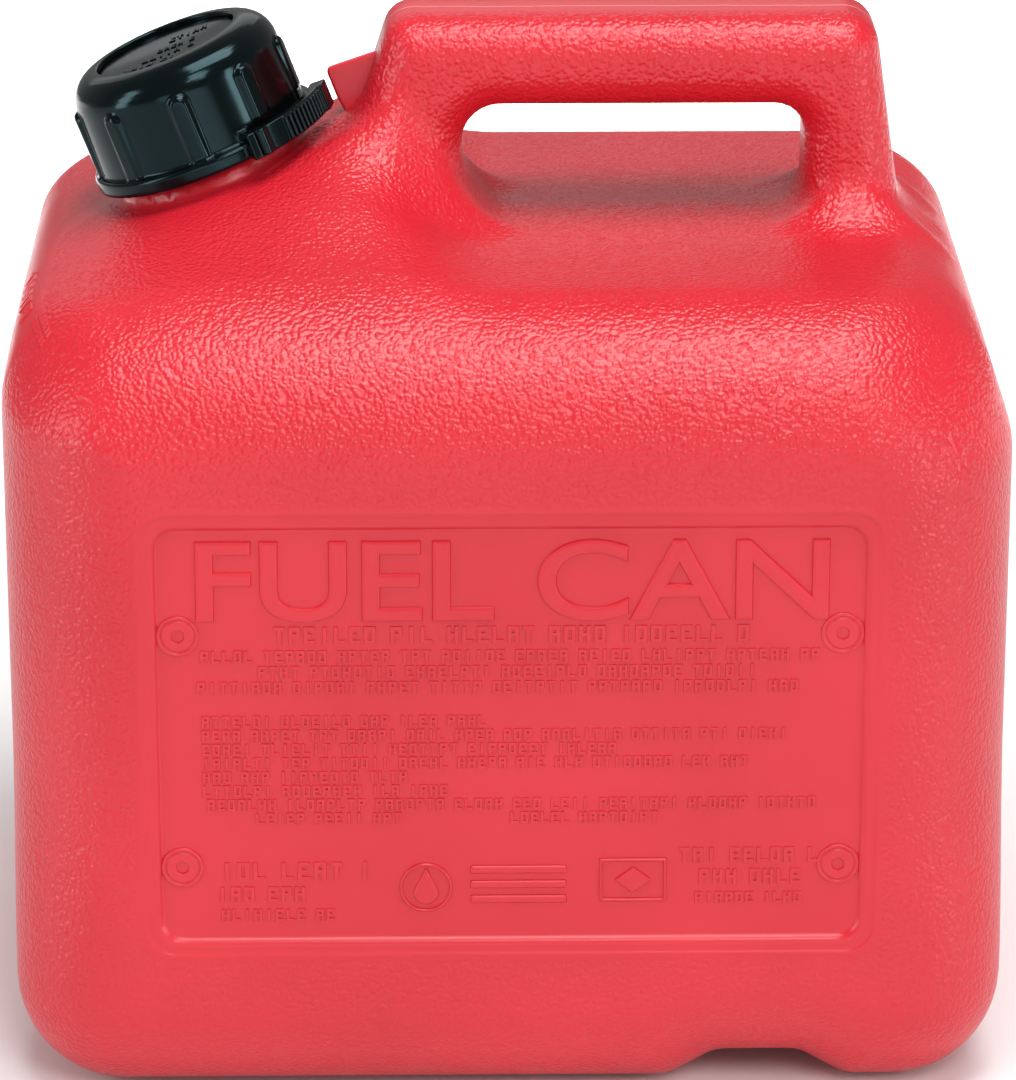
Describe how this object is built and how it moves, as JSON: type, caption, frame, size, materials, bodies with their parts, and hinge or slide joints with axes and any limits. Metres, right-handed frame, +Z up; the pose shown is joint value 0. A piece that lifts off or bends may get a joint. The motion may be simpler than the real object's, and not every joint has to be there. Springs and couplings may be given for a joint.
{
  "type": "safety gas can",
  "caption": "Red plastic fuel can with a loop handle, tilted neck, ribbed black screw cap with a squeeze lever, and a self-closing spout stored inside.",
  "frame": {"origin": "on the ground under the middle of the tank's length and depth", "axes": "+X from the neck end to the far end, -Y towards the front panel, +Z up"},
  "size_m": [0.251, 0.21, 0.2603],
  "materials": {
    "red_shell": "leather-grained polyethylene, satin",
    "cap_plastic": "glossy black moulding",
    "spout_plastic": "satin black moulding",
    "sleeve_plastic": "satin yellow moulding",
    "valve_plastic": "natural white acetal",
    "seal_rubber": "matte nitrile rubber",
    "rod_steel": "drawn stainless",
    "spring_steel": "drawn stainless wire"
  },
  "bodies": {
    "can": {"tank": "red_shell", "neck_gasket": "seal_rubber", "spout_body": "spout_plastic", "wiper_seal": "seal_rubber", "rod_spider": "spout_plastic", "valve_rod": "rod_steel", "valve_head": "valve_plastic", "valve_seal": "seal_rubber", "valve_nut": "rod_steel", "vent_tube": "valve_plastic", "spring_seat": "valve_plastic", "spout_spring": "spring_steel"},
    "sleeve": {"spout_sleeve": "sleeve_plastic", "spout_tip": "sleeve_plastic", "catch_ring": "valve_plastic"},
    "closure": {"closure_disc": "cap_plastic", "closure_seal": "seal_rubber"},
    "collar": {"screw_collar": "cap_plastic"},
    "lever": {"release_lever": "cap_plastic"}
  },
  "joints": [
    {"name": "cap_turn", "type": "hinge", "parent": "closure", "child": "collar", "pos_m": [-0.0803, 0, 0.2345], "axis": [-0.3584, 0, 0.9336], "range_deg": [0, 1170]},
    {"name": "cap_rise", "type": "slide", "parent": "can", "child": "closure", "axis": [-0.3584, 0, 0.9336], "range_m": [0, 0.026]},
    {"name": "lever_squeeze", "type": "hinge", "parent": "collar", "child": "lever", "pos_m": [-0.06093, -0.02799, 0.23283], "axis": [-0.3584, 0, 0.9336], "range_deg": [0, 4], "stiffness_Nm_per_rad": 0.3, "springref_deg": -1.72},
    {"name": "sleeve_slide", "type": "slide", "parent": "can", "child": "sleeve", "axis": [-0.3584, 0, 0.9336], "range_m": [0, 0.012], "stiffness_N_per_m": 400, "springref_m": -0.01, "deforming": ["spout_spring"]}
  ],
  "couplings": [
    {"joint": "cap_turn", "follows": "cap_rise", "rad_per_m": 785.39}
  ]
}
